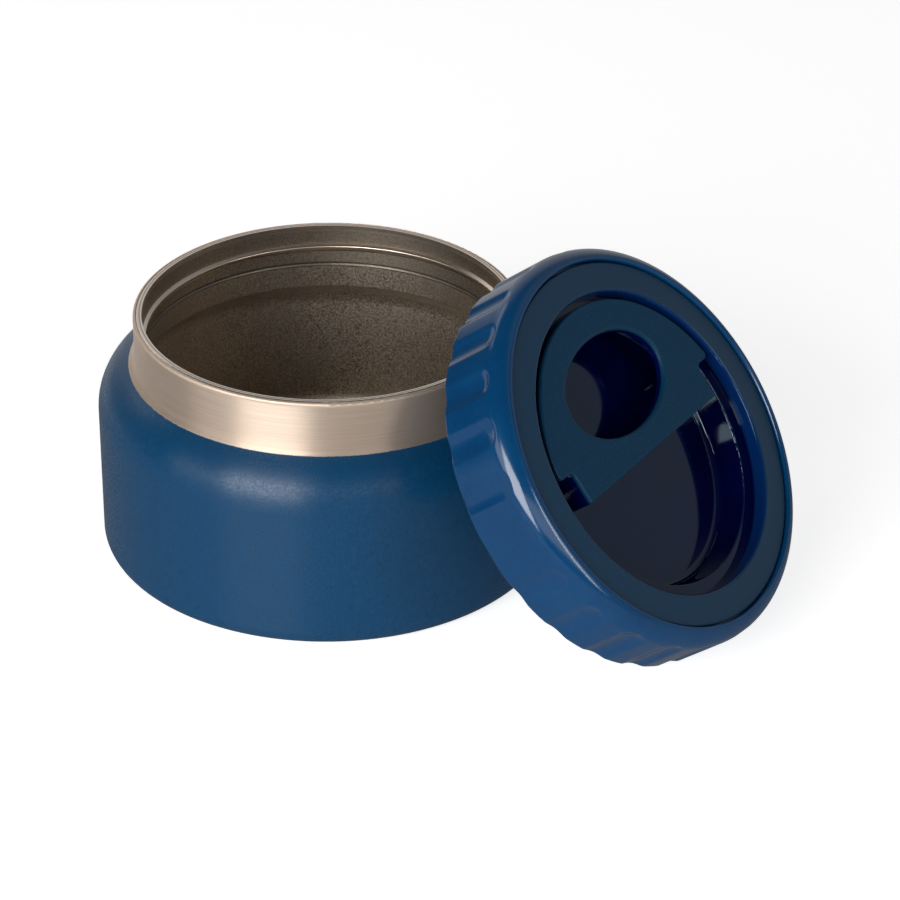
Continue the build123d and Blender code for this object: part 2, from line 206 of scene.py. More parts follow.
# Each softbox: degrees to the left of the camera, degrees up, width and height in metres, watts.
SOFTBOXES = {
    "key_softbox": (33, 23, 0.92, 0.74, 15.5),
    "fill_softbox": (-25, 26, 1.60, 0.50, 2.9),
    "left_softbox": (66, 18, 0.72, 0.50, 2.0),
    "edge_softbox": (-47, 24, 0.12, 0.80, 2.3),
    "rim_softbox": (140, 35, 0.60, 0.40, 0.6),
}
CAMERA_PITCH = 0.5274
CAMERA_TURN = 0.0345
CAMERA_ROLL = -0.0132
CAMERA_DISTANCE = 817.4 * MM
CAMERA_AIM_HEIGHT = 19.85 * MM
CAMERA_SENSOR = 36
CAMERA_LENS = 140
CAMERA_CLIP = 0.01

# Socket types of the node groups.
FLOAT = "NodeSocketFloat"
WHOLE = "NodeSocketInt"
VECTOR = "NodeSocketVector"
SHAPE = "NodeSocketGeometry"
MATERIAL = "NodeSocketMaterial"


# ---------------------------------------------------------------- node helpers

def add_node(tree, kind, inputs=None, **settings):
    """Add one node, set its properties, and fill or link its inputs."""
    node = tree.nodes.new(kind)
    for name, value in settings.items():
        setattr(node, name, value)
    for name, value in (inputs or {}).items():
        socket = node.inputs[name]
        if isinstance(value, bpy.types.NodeSocket):
            tree.links.new(value, socket)
        else:
            socket.default_value = value
    return node


def calc(tree, operation, a, b=0.0, clamp=False):
    """One Math node; returns its output."""
    return add_node(tree, "ShaderNodeMath", {0: a, 1: b}, operation=operation, use_clamp=clamp).outputs[0]


def squared(tree, value):
    """A number times itself; returns the output."""
    return calc(tree, "MULTIPLY", value, value)


def vector_calc(tree, operation, a, b=None):
    """One Vector Math node; returns its number for a length or a dot product, else its vector."""
    inputs = {0: a} if b is None else {0: a, 1: b}
    node = add_node(tree, "ShaderNodeVectorMath", inputs, operation=operation)
    return node.outputs["Value" if operation in ("LENGTH", "DOT_PRODUCT") else "Vector"]


def split_place(tree, place):
    """The X, Y and Z of a place, as named outputs."""
    return add_node(tree, "ShaderNodeSeparateXYZ", {"Vector": place}).outputs


def step_mask(tree, value, low, high):
    """0 at low, 1 at high, smooth between and level beyond; returns the output."""
    node = add_node(tree, "ShaderNodeMapRange", {"Value": value}, interpolation_type="SMOOTHSTEP")
    node.inputs["From Min"].default_value = low
    node.inputs["From Max"].default_value = high
    return node.outputs["Result"]


def ring_mask(tree, value, middle, half_width):
    """1 within half_width of middle, fading to 0 at twice that; returns the output."""
    away = calc(tree, "ABSOLUTE", calc(tree, "SUBTRACT", value, middle))
    return step_mask(tree, away, 2 * half_width, half_width)


def under_rim(tree, height, band):
    """Mask of a band given by two depths under the jar's rim; returns the output."""
    begin, complete = band
    return step_mask(tree, height, JAR_RIM - begin, JAR_RIM - complete)


def span(tree, factor, low, high):
    """Map a 0 to 1 value onto low to high; returns the output."""
    node = add_node(tree, "ShaderNodeMapRange", {"Value": factor})
    node.inputs["To Min"].default_value = low
    node.inputs["To Max"].default_value = high
    return node.outputs["Result"]


def mix_value(tree, factor, a, b):
    """Mix two numbers; returns the output."""
    inputs = {"Factor": factor, "A": a, "B": b}
    return add_node(tree, "ShaderNodeMix", inputs, data_type="FLOAT").outputs[0]


def blend(tree, factor, a, b):
    """Mix two colours; returns the output."""
    node = add_node(tree, "ShaderNodeMix", {"Factor": factor}, data_type="RGBA")
    for index, value in ((6, a), (7, b)):
        if isinstance(value, bpy.types.NodeSocket):
            tree.links.new(value, node.inputs[index])
        else:
            node.inputs[index].default_value = (*value, 1.0)
    return node.outputs[2]


def lay_over(tree, base, mask, share, colour):
    """Lay a colour over a base by a share of a mask; returns the output."""
    return blend(tree, calc(tree, "MULTIPLY", mask, share), base, colour)


def start_group(name, kind, inputs, outputs):
    """Start a node group with named sockets; returns the tree and its two ends."""
    tree = bpy.data.node_groups.new(name, kind)
    for label, socket_type, value in inputs:
        socket = tree.interface.new_socket(name=label, in_out="INPUT", socket_type=socket_type)
        if value is not None:
            socket.default_value = value
    for label, socket_type in outputs:
        tree.interface.new_socket(name=label, in_out="OUTPUT", socket_type=socket_type)
    return tree, tree.nodes.new("NodeGroupInput"), tree.nodes.new("NodeGroupOutput")


# ---------------------------------------------------------------- shared effects

def build_grain():
    """Fine moulded or sprayed grain with a slow drift under it; sizes in millimetres."""
    tree, ends_in, ends_out = start_group(
        "surface_grain", "ShaderNodeTree",
        [("Vector", VECTOR, None), ("Grain Size", FLOAT, 0.4), ("Drift Size", FLOAT, 20.0)],
        [("Grain", FLOAT), ("Drift", FLOAT)],
    )
    fine = add_node(tree, "ShaderNodeTexNoise", {
        "Vector": ends_in.outputs["Vector"],
        "Scale": calc(tree, "DIVIDE", 1 / MM, ends_in.outputs["Grain Size"]),
        "Detail": 3.0,
        "Roughness": 0.65,
    })
    drift = add_node(tree, "ShaderNodeTexNoise", {
        "Vector": ends_in.outputs["Vector"],
        "Scale": calc(tree, "DIVIDE", 1 / MM, ends_in.outputs["Drift Size"]),
        "Detail": 2.0,
    })
    tree.links.new(step_mask(tree, fine.outputs["Fac"], 0.3, 0.7), ends_out.inputs["Grain"])
    tree.links.new(step_mask(tree, drift.outputs["Fac"], 0.25, 0.75), ends_out.inputs["Drift"])
    return tree


def build_brushing():
    """Hair-fine lines that run round the Z axis, as a belt leaves on turned steel; width in millimetres."""
    tree, ends_in, ends_out = start_group(
        "turned_brushing", "ShaderNodeTree",
        [("Vector", VECTOR, None), ("Line Width", FLOAT, 0.12)],
        [("Lines", FLOAT)],
    )
    split = split_place(tree, ends_in.outputs["Vector"])
    around = calc(tree, "ARCTAN2", split["Y"], split["X"])
    radius = vector_calc(tree, "LENGTH", vector_calc(tree, "MULTIPLY", ends_in.outputs["Vector"], LEVEL))
    width = calc(tree, "MULTIPLY", ends_in.outputs["Line Width"], MM)
    place = add_node(tree, "ShaderNodeCombineXYZ", {
        "X": calc(tree, "SINE", around),
        "Y": calc(tree, "COSINE", around),
        "Z": calc(tree, "DIVIDE", calc(tree, "ADD", split["Z"], radius), width),
    })
    lines = add_node(tree, "ShaderNodeTexNoise", {
        "Vector": vector_calc(tree, "MULTIPLY", place.outputs[0], BRUSHED_STREAK),
        "Scale": 1.0,
        "Detail": 4.0,
        "Roughness": 0.7,
    })
    tree.links.new(step_mask(tree, lines.outputs["Fac"], 0.3, 0.72), ends_out.inputs["Lines"])
    return tree


GRAIN = build_grain()
BRUSHING = build_brushing()


# ---------------------------------------------------------------- materials

def start_material(name, **constants):
    """A material with its Principled BSDF; constants are set straight on the shader's sockets."""
    material = bpy.data.materials.new(name)
    material.use_nodes = True
    tree = material.node_tree
    shader = tree.nodes["Principled BSDF"]
    for label, value in constants.items():
        shader.inputs[label.replace("_", " ")].default_value = value
    place = add_node(tree, "ShaderNodeTexCoord").outputs["Object"]
    return material, tree, shader, place


def grain_on(tree, place, grain_size, drift_size):
    """Place the shared grain in a material; returns its Grain and Drift outputs."""
    inputs = {"Vector": place, "Grain Size": grain_size, "Drift Size": drift_size}
    node = add_node(tree, "ShaderNodeGroup", inputs, node_tree=GRAIN)
    return node.outputs["Grain"], node.outputs["Drift"]


def brushing_on(tree, place, line_width):
    """Place the shared brushing in a material; returns its Lines output."""
    inputs = {"Vector": place, "Line Width": line_width}
    return add_node(tree, "ShaderNodeGroup", inputs, node_tree=BRUSHING).outputs["Lines"]


def brush_round(tree, shader):
    """Lay the shader's anisotropy round the jar's axis."""
    tangent = add_node(tree, "ShaderNodeTangent", direction_type="RADIAL", axis="Z")
    tree.links.new(tangent.outputs[0], shader.inputs["Tangent"])


def raise_surface(tree, shader, height, strength, depth, normal=None):
    """Bump the surface by a 0 to 1 height, depth in millimetres, over its own or a given normal."""
    inputs = {"Strength": strength, "Distance": depth * MM, "Height": height}
    if normal is not None:
        inputs["Normal"] = normal
    bump = add_node(tree, "ShaderNodeBump", inputs)
    tree.links.new(bump.outputs["Normal"], shader.inputs["Normal"])


def lid_spot(tree, place):
    """A place's offset from the lid's centre, and its height over the lid's top groove."""
    offset = vector_calc(tree, "SUBTRACT", place, LID_CENTRE)
    return offset, vector_calc(tree, "DOT_PRODUCT", offset, LID_Z)


def lid_radius(tree, offset, height):
    """How far a place lies from the lid's axis; returns the output."""
    rise = add_node(tree, "ShaderNodeVectorMath", {0: LID_Z, "Scale": height}, operation="SCALE")
    return vector_calc(tree, "LENGTH", vector_calc(tree, "SUBTRACT", offset, rise.outputs[0]))


def upright_normal(tree, place, mask):
    """The surface's normal, turned level where the mask is 1; returns the output."""
    outward = vector_calc(tree, "NORMALIZE", vector_calc(tree, "MULTIPLY", place, LEVEL))
    return add_node(tree, "ShaderNodeMix", {
        "Factor": mask,
        4: add_node(tree, "ShaderNodeNewGeometry").outputs["Normal"],
        5: outward,
    }, data_type="VECTOR").outputs[1]


def make_shell_material():
    """Powder-coated body with a bare brushed neck above the paint edge."""
    material, tree, shader, place = start_material(
        "jar_shell", Anisotropic_Rotation=BRUSHED_ROTATION, Specular_IOR_Level=0.46,
    )
    grain, drift = grain_on(tree, place, grain_size=0.42, drift_size=30.0)
    lines = brushing_on(tree, place, line_width=0.10)
    height = split_place(tree, place)["Z"]
    wavy_height = calc(tree, "ADD", height, calc(tree, "MULTIPLY", grain, PAINT_WOBBLE))
    bare = step_mask(tree, wavy_height, PAINT_EDGE, PAINT_EDGE + PAINT_FADE)
    coated = calc(tree, "SUBTRACT", 1.0, bare)
    coat = blend(tree, grain, COAT_DARK, COAT_LIGHT)
    coat = lay_over(tree, coat, drift, share=0.35, colour=COAT_DRIFT)
    steel = blend(tree, lines, NECK_DARK, NECK_LIGHT)
    tree.links.new(blend(tree, bare, coat, steel), shader.inputs["Base Color"])
    tree.links.new(calc(tree, "MULTIPLY", bare, NECK_METALLIC), shader.inputs["Metallic"])

    lip = under_rim(tree, height, SHELL_LIP)
    rough_coat = span(tree, grain, 0.38, 0.18)
    rough_steel = calc(tree, "ADD", span(tree, lines, 0.40, 0.47), calc(tree, "MULTIPLY", lip, 0.14))
    tree.links.new(mix_value(tree, bare, rough_coat, rough_steel), shader.inputs["Roughness"])
    brush_round(tree, shader)
    tree.links.new(span(tree, lip, NECK_ANISOTROPY, 0.0), shader.inputs["Anisotropic"])

    coat_relief = calc(tree, "MULTIPLY", grain, coated)
    line_relief = calc(tree, "MULTIPLY", lines, calc(tree, "MULTIPLY", bare, NECK_LINE_RELIEF))
    coat_step = calc(tree, "MULTIPLY", bare, NECK_BELOW_COAT)
    relief = calc(tree, "ADD", calc(tree, "ADD", coat_relief, line_relief), coat_step)
    neck = calc(tree, "MULTIPLY", bare, under_rim(tree, height, UPRIGHT_NECK))
    normal = upright_normal(tree, place, calc(tree, "MULTIPLY", neck, NECK_STRAIGHTENED))
    raise_surface(tree, shader, relief, strength=0.40, depth=0.028, normal=normal)
    return material


def make_vessel_material():
    """Blasted steel inside the jar, with painted shade in a band under the rim and in its rolled groove, and
    a polished lip at the rim whose colour is also lifted as a painted highlight.
    """
    material, tree, shader, place = start_material(
        "blasted_steel", Metallic=0.96, Anisotropic=0.3, Anisotropic_Rotation=BRUSHED_ROTATION,
    )
    grain, drift = grain_on(tree, place, grain_size=0.45, drift_size=14.0)
    lines = brushing_on(tree, place, line_width=0.25)
    height = split_place(tree, place)["Z"]
    radius = vector_calc(tree, "LENGTH", vector_calc(tree, "MULTIPLY", place, LEVEL))
    lip = under_rim(tree, height, POLISHED_LIP)
    # Painted shade: the band just under the rim, where the blasted wall is darkened.
    tone_mask = under_rim(tree, height, MOUTH_SHADE_BAND)
    turned = under_rim(tree, height, TURNED_MOUTH)
    groove = ring_mask(tree, height, JAR_RIM - GROOVE_DROP, GROOVE_HALF_WIDTH)
    seam = calc(tree, "MULTIPLY", ring_mask(tree, radius, RIM_SEAM, SEAM_HALF_WIDTH), lip)

    blasted = blend(tree, grain, BLASTED_DARK, BLASTED_LIGHT)
    blasted = lay_over(tree, blasted, drift, share=0.4, colour=BLASTED_DRIFT)
    # Lay the painted shade over that band.
    blasted = lay_over(tree, blasted, tone_mask, share=0.3, colour=BLASTED_MOUTH_SHADE)
    blasted = lay_over(tree, blasted, groove, share=0.85, colour=GROOVE_SHADE)
    # Polished lip, painted lighter than the blasted wall as a highlight.
    polished = blend(tree, lines, LIP_HIGHLIGHT_DARK, LIP_HIGHLIGHT_LIGHT)
    polished = lay_over(tree, polished, seam, share=0.6, colour=SEAM_SHADE)
    tree.links.new(blend(tree, lip, blasted, polished), shader.inputs["Base Color"])

    rough_blasted = span(tree, calc(tree, "SUBTRACT", grain, turned), 0.38, 0.54)
    tree.links.new(mix_value(tree, lip, rough_blasted, 0.26), shader.inputs["Roughness"])
    brush_round(tree, shader)
    blasted_relief = calc(tree, "MULTIPLY", grain, calc(tree, "SUBTRACT", 1.0, lip))
    relief = calc(tree, "SUBTRACT", blasted_relief, calc(tree, "MULTIPLY", seam, SEAM_RELIEF))
    raise_surface(tree, shader, relief, strength=0.3, depth=0.05)
    return material


def make_insert_material():
    """Matte ring round a polished pocket, in one moulding; the pocket is painted near-black as shade deep
    down, and a lighter blue as painted light on its upper wall.
    """
    material, tree, shader, place = start_material("insert_plastic", Specular_Tint=POCKET_SHEEN)
    grain, drift = grain_on(tree, place, grain_size=0.4, drift_size=12.0)
    offset, height = lid_spot(tree, place)
    ring = step_mask(tree, lid_radius(tree, offset, height), *MATTE_RING)
    pocket = calc(tree, "SUBTRACT", 1.0, ring)
    wall = step_mask(tree, height, *POCKET_WALL)
    matte = blend(tree, grain, RING_DARK, RING_LIGHT)
    matte = lay_over(tree, matte, drift, share=0.3, colour=RING_DRIFT)
    # Painted light and shade: a near-black copy of the plastic deep in the pocket, a lighter blue on its
    # upper wall.
    polished = blend(tree, wall, blend(tree, drift, POCKET_SHADE_DARK, POCKET_SHADE_LIGHT), POCKET_WALL_LIT_BLUE)
    tree.links.new(blend(tree, ring, polished, matte), shader.inputs["Base Color"])

    shine = calc(tree, "MULTIPLY", wall, pocket)
    tree.links.new(span(tree, shine, 0.68, 0.21), shader.inputs["Specular IOR Level"])
    rough_pocket = span(tree, drift, 0.05, 0.09)
    rough_ring = span(tree, grain, 0.40, 0.52)
    tree.links.new(mix_value(tree, ring, rough_pocket, rough_ring), shader.inputs["Roughness"])
    swell = calc(tree, "MULTIPLY", drift, pocket)
    relief = calc(tree, "ADD", calc(tree, "MULTIPLY", grain, ring), swell)
    raise_surface(tree, shader, relief, strength=0.3, depth=0.02)
    return material


def make_flap_material():
    """Fine-grained top face, with polished walls round the finger hole and the ends, painted far darker than
    the top as shade.
    """
    material, tree, shader, place = start_material("flap_plastic", Specular_IOR_Level=0.20)
    grain, drift = grain_on(tree, place, grain_size=0.42, drift_size=14.0)
    offset, height = lid_spot(tree, place)
    top = step_mask(tree, height, *FLAP_TOP)
    matte = blend(tree, grain, FLAP_DARK, FLAP_LIGHT)
    matte = lay_over(tree, matte, drift, share=0.3, colour=FLAP_DRIFT)
    # Painted shade: the polished walls take the far darker copy of the plastic.
    polished = blend(tree, drift, FLAP_WALL_SHADE_DARK, FLAP_WALL_SHADE_LIGHT)
    tree.links.new(blend(tree, top, polished, matte), shader.inputs["Base Color"])
    rough_top = span(tree, grain, 0.38, 0.48)
    tree.links.new(mix_value(tree, top, 0.10, rough_top), shader.inputs["Roughness"])
    raise_surface(tree, shader, calc(tree, "MULTIPLY", grain, top), strength=0.3, depth=0.025)
    return material


def make_moulded_plastic(name, dark, light, grain_size, rough, bump, depth, **constants):
    """Moulded plastic: two close tones through fine grain, with its gloss varying a little."""
    material, tree, shader, place = start_material(name, **constants)
    grain, drift = grain_on(tree, place, grain_size, drift_size=18.0)
    tone = calc(tree, "ADD", calc(tree, "MULTIPLY", grain, 0.6), 0.2)
    mottle = calc(tree, "MULTIPLY", calc(tree, "ADD", tone, drift), 0.55, clamp=True)
    tree.links.new(blend(tree, mottle, dark, light), shader.inputs["Base Color"])
    tree.links.new(span(tree, drift, *rough), shader.inputs["Roughness"])
    raise_surface(tree, shader, grain, bump, depth)
    return material


def make_brushed_metal(name, dark, light, rough, line_width):
    """Plain turned steel, brushed round the jar's axis."""
    material, tree, shader, place = start_material(name, Metallic=1.0)
    lines = brushing_on(tree, place, line_width)
    grain, drift = grain_on(tree, place, grain_size=0.6, drift_size=15.0)
    tone_mask = calc(tree, "MULTIPLY", calc(tree, "ADD", lines, drift), 0.5)
    tree.links.new(blend(tree, tone_mask, dark, light), shader.inputs["Base Color"])
    tree.links.new(span(tree, lines, *rough), shader.inputs["Roughness"])
    relief = calc(tree, "ADD", lines, calc(tree, "MULTIPLY", grain, 0.3))
    raise_surface(tree, shader, relief, strength=0.3, depth=0.015)
    return material


shell_coat = make_shell_material()
blasted_steel = make_vessel_material()
insert_plastic = make_insert_material()
rolled_steel = make_brushed_metal(
    "rolled_steel", dark=(0.80, 0.66, 0.54), light=(0.94, 0.81, 0.69), rough=(0.26, 0.36), line_width=0.3,
)
cap_plastic = make_moulded_plastic(
    "cap_plastic", dark=(0.0006, 0.041, 0.130), light=(0.0012, 0.055, 0.160),
    grain_size=1.6, rough=(0.12, 0.17), bump=0.08, depth=0.02, Specular_IOR_Level=0.68,
)
flap_plastic = make_flap_material()
plug_plastic = make_moulded_plastic(
    "plug_plastic", dark=(0.005, 0.040, 0.100), light=(0.011, 0.060, 0.135),
    grain_size=0.5, rough=(0.30, 0.42), bump=0.25, depth=0.02,
)
gasket_rubber = make_moulded_plastic(
    "gasket_rubber", dark=(0.50, 0.50, 0.48), light=(0.60, 0.60, 0.58),
    grain_size=0.6, rough=(0.48, 0.62), bump=0.3, depth=0.02,
    Subsurface_Weight=0.1, Subsurface_Radius=(0.002, 0.002, 0.002),
)
foam = make_moulded_plastic(
    "foam", dark=(0.62, 0.60, 0.54), light=(0.82, 0.80, 0.74),
    grain_size=1.2, rough=(0.8, 0.95), bump=0.9, depth=0.3,
)
base_steel = make_brushed_metal(
    "base_steel", dark=(0.40, 0.37, 0.34), light=(0.58, 0.55, 0.51), rough=(0.28, 0.40), line_width=0.2,
)
pin_steel = make_brushed_metal(
    "pin_steel", dark=(0.52, 0.51, 0.50), light=(0.68, 0.67, 0.66), rough=(0.18, 0.28), line_width=0.1,
)
bright_foil = make_brushed_metal(
    "bright_foil", dark=(0.76, 0.76, 0.77), light=(0.88, 0.88, 0.89), rough=(0.12, 0.26), line_width=1.2,
)
braze = make_brushed_metal(
    "braze", dark=(0.42, 0.33, 0.16), light=(0.60, 0.48, 0.26), rough=(0.35, 0.5), line_width=0.5,
)
dark_tablet = make_brushed_metal(
    "dark_tablet", dark=(0.05, 0.05, 0.055), light=(0.12, 0.12, 0.125), rough=(0.6, 0.8), line_width=0.6,
)

FINISHES = {
    "outer_shell": shell_coat,
    "inner_vessel": blasted_steel,
    "foil_wrap": bright_foil,
    "getter": dark_tablet,
    "base_plate": base_steel,
    "vacuum_seal": braze,
    "seal_cover": base_steel,
    "lid_cap": cap_plastic,
    "lid_insert": insert_plastic,
    "lid_plug": plug_plastic,
    "foam_puck": foam,
    "lid_gasket": gasket_rubber,
    "hinge_pin_left": pin_steel,
    "hinge_pin_right": pin_steel,
    "carry_flap": flap_plastic,
}


def dress_nodes():
    """Give each CAD node its finish."""
    for name, material in FINISHES.items():
        mesh = nodes[name].data
        mesh.materials.clear()
        mesh.materials.append(material)


dress_nodes()


# ---------------------------------------------------------------- geometry trees

def start_shape_tree(name, inputs):
    """Start a geometry tree with named sizes and a finish; returns the tree and its two ends."""
    inputs = inputs + [("Finish", MATERIAL, None)]
    return start_group(name, "GeometryNodeTree", inputs, [("Geometry", SHAPE)])


def finish_shape_tree(tree, ends_in, ends_out, geometry):
    """Shade the tree's surface smooth, make it real and give it its material."""
    smooth = add_node(tree, "GeometryNodeSetShadeSmooth", {"Geometry": geometry})
    real = add_node(tree, "GeometryNodeRealizeInstances", {"Geometry": smooth.outputs[0]})
    inputs = {"Geometry": real.outputs[0], "Material": ends_in.outputs["Finish"]}
    finished = add_node(tree, "GeometryNodeSetMaterial", inputs)
    tree.links.new(finished.outputs[0], ends_out.inputs["Geometry"])
    return tree


def bake_tree(name, tree, start_mesh, matrix, **inputs):
    """Run a geometry tree on a mesh and return the result as a plain object placed by matrix."""
    holder = bpy.data.objects.new(name + "_start", start_mesh)
    bpy.context.scene.collection.objects.link(holder)
    modifier = holder.modifiers.new(name, "NODES")
    modifier.node_group = tree
    ends = tree.interface.items_tree
    sockets = {item.name: item.identifier for item in ends if item.in_out == "INPUT"}
    for label, value in inputs.items():
        modifier[sockets[label.replace("_", " ")]] = value
    evaluated = holder.evaluated_get(bpy.context.evaluated_depsgraph_get())
    baked = bpy.data.meshes.new_from_object(evaluated)
    bpy.data.objects.remove(holder)
    baked.transform(matrix)
    piece = bpy.data.objects.new(name, baked)
    bpy.context.scene.collection.objects.link(piece)
    return piece


# ---------------------------------------------------------------- screw ridges

def build_ridge_tree():
    """Geometry nodes: a flat-topped screw ridge that sinks into its wall at both ends."""
    tree, ends_in, ends_out = start_shape_tree("screw_ridge", [
        ("Radius", FLOAT, 0.04),
        ("Pitch", FLOAT, 0.003),
        ("Turns", FLOAT, 1.0),
        ("Ridge Height", FLOAT, 0.0009),
        ("Crest Width", FLOAT, 0.0012),
        ("Foot Width", FLOAT, 0.0024),
        ("Section Turn", FLOAT, 0.0),
    ])
    path = add_node(tree, "GeometryNodeCurveSpiral", {
        "Resolution": RIDGE_STEPS,
        "Rotations": ends_in.outputs["Turns"],
        "Start Radius": ends_in.outputs["Radius"],
        "End Radius": ends_in.outputs["Radius"],
        "Height": calc(tree, "MULTIPLY", ends_in.outputs["Pitch"], ends_in.outputs["Turns"]),
        "Reverse": False,
    })
    level = add_node(tree, "GeometryNodeSetCurveNormal", {"Curve": path.outputs[0]}, mode="Z_UP")
    along = add_node(tree, "GeometryNodeSplineParameter").outputs["Factor"]
    risen = step_mask(tree, along, 0.0, RIDGE_FADE)
    sunk = step_mask(tree, along, 1.0, 1.0 - RIDGE_FADE)
    fade = calc(tree, "MAXIMUM", calc(tree, "MULTIPLY", risen, sunk), RIDGE_END_SCALE)
    height = ends_in.outputs["Ridge Height"]
    section = add_node(tree, "GeometryNodeCurvePrimitiveQuadrilateral", {
        "Bottom Width": ends_in.outputs["Foot Width"],
        "Top Width": ends_in.outputs["Crest Width"],
        "Height": calc(tree, "MULTIPLY", height, 2.0),
        "Offset": 0.0,
    }, mode="TRAPEZOID")
    turned = add_node(tree, "GeometryNodeTransform", {
        "Geometry": section.outputs[0],
        "Rotation": add_node(tree, "ShaderNodeCombineXYZ", {"Z": ends_in.outputs["Section Turn"]}).outputs[0],
    })
    rounded = add_node(tree, "GeometryNodeFilletCurve", {
        "Curve": turned.outputs[0],
        "Radius": calc(tree, "MULTIPLY", height, RIDGE_ROUNDING),
        "Count": 4,
    }, mode="POLY")
    body = add_node(tree, "GeometryNodeCurveToMesh", {
        "Curve": level.outputs[0],
        "Profile Curve": rounded.outputs[0],
        "Scale": fade,
        "Fill Caps": True,
    })
    return finish_shape_tree(tree, ends_in, ends_out, body.outputs[0])


RIDGE_TREE = build_ridge_tree()


def make_ridge(name, matrix, body, slot, finish, **sizes):
    """One screw ridge on its wall, riding its body."""
    start_mesh = bpy.data.meshes.new(name + "_start")
    piece = bake_tree(name, RIDGE_TREE, start_mesh, matrix, Pitch=RIDGE_PITCH, Finish=finish, **sizes)
    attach(piece, body)


def make_jar_ridge():
    """The ridge that stands inward from the jar's mouth."""
    start = Matrix.Translation((0, 0, JAR_RIM - JAR_RIDGE_DROP)) @ Matrix.Rotation(JAR_RIDGE_START, 4, "Z")
    make_ridge(
        "jar_screw_ridge", start, "jar", "blasted_steel", rolled_steel,
        Radius=MOUTH_RADIUS, Turns=1.05,
        Ridge_Height=0.8 * MM, Crest_Width=1.1 * MM, Foot_Width=3.0 * MM, Section_Turn=-pi / 2,
    )


def make_plug_ridge():
    """The ridge that stands outward from the lid's plug."""
    start = LID_MATRIX @ Matrix.Translation((0, 0, -PLUG_DEPTH + PLUG_RIDGE_LIFT))
    make_ridge(
        "plug_screw_ridge", start, "lid", "plug_plastic", plug_plastic,
        Radius=PLUG_RADIUS, Turns=1.3,
        Ridge_Height=0.9 * MM, Crest_Width=0.8 * MM, Foot_Width=2.6 * MM, Section_Turn=pi / 2,
    )


# ---------------------------------------------------------------- fluted cap

def bend(centre, radius, start, end, steps):
    """Points round an arc, angles in degrees; each is a distance from the axis and a height."""
    turns = [radians(start + (end - start) * step / steps) for step in range(steps + 1)]
    return [(centre[0] + radius * cos(turn), centre[1] + radius * sin(turn)) for turn in turns]


def straight(start, end, steps):
    """Points along a straight wall, without its two ends."""
    across, up = end[0] - start[0], end[1] - start[1]
    shares = [step / steps for step in range(1, steps)]
    return [(start[0] + across * share, start[1] + up * share) for share in shares]


def make_cap_section():
    """The cap's closed section before its flutes are pressed in, as a ring of points in the XZ plane."""
    edge_centre = (CAP_RADIUS - CAP_EDGE, CAP_CROWN - CAP_EDGE)
    edge = bend(edge_centre, CAP_EDGE, 0, EDGE_TURN, EDGE_STEPS)
    lip_foot = SKIRT_FOOT + SKIRT_LIP
    opening_centre = (OPENING_RADIUS + OPENING_ROUNDING, edge[-1][1] - OPENING_ROUNDING)
    points = bend((SKIRT_RADIUS + SKIRT_LIP, lip_foot), SKIRT_LIP, 180, 270, LIP_STEPS)
    points += bend((CAP_RADIUS - SKIRT_LIP, lip_foot), SKIRT_LIP, 270, 360, LIP_STEPS)
    points += straight((CAP_RADIUS, lip_foot), (CAP_RADIUS, edge_centre[1]), WALL_STEPS)
    points += edge
    points += bend(opening_centre, OPENING_ROUNDING, EDGE_TURN, 180, ROUNDING_STEPS)[1:]
    points += [(OPENING_RADIUS, SEAT_TOP), (SEAT_RADIUS, SEAT_TOP)]
    points += [(SEAT_RADIUS, SEAT_FOOT), (SKIRT_RADIUS, SEAT_FOOT)]
    mesh = bpy.data.meshes.new("cap_section")
    mesh.from_pydata([(x, 0, z) for x, z in points], [], [])
    return mesh


def press_flutes(tree, ends_in, turn, height):
    """How far out the flutes' rods let the cap reach at a turn and a height; returns the output."""
    share = calc(tree, "DIVIDE", 2 * pi, ends_in.outputs["Flutes"])
    off = add_node(tree, "ShaderNodeMath", {
        0: calc(tree, "SUBTRACT", turn, ends_in.outputs["First Flute"]),
        1: calc(tree, "MULTIPLY", share, 0.5),
        2: calc(tree, "MULTIPLY", share, -0.5),
    }, operation="WRAP").outputs[0]
    side = calc(tree, "MULTIPLY", ends_in.outputs["Flute Centre"], calc(tree, "SINE", off))
    ahead = calc(tree, "MULTIPLY", ends_in.outputs["Flute Centre"], calc(tree, "COSINE", off))
    over = calc(tree, "MAXIMUM", calc(tree, "SUBTRACT", height, ends_in.outputs["Flute Top"]), 0.0)
    reach = calc(tree, "SUBTRACT", squared(tree, ends_in.outputs["Flute Radius"]), squared(tree, over))
    reach = calc(tree, "MAXIMUM", calc(tree, "SUBTRACT", reach, squared(tree, side)), 0.0)
    return calc(tree, "SUBTRACT", ahead, calc(tree, "SQRT", reach))


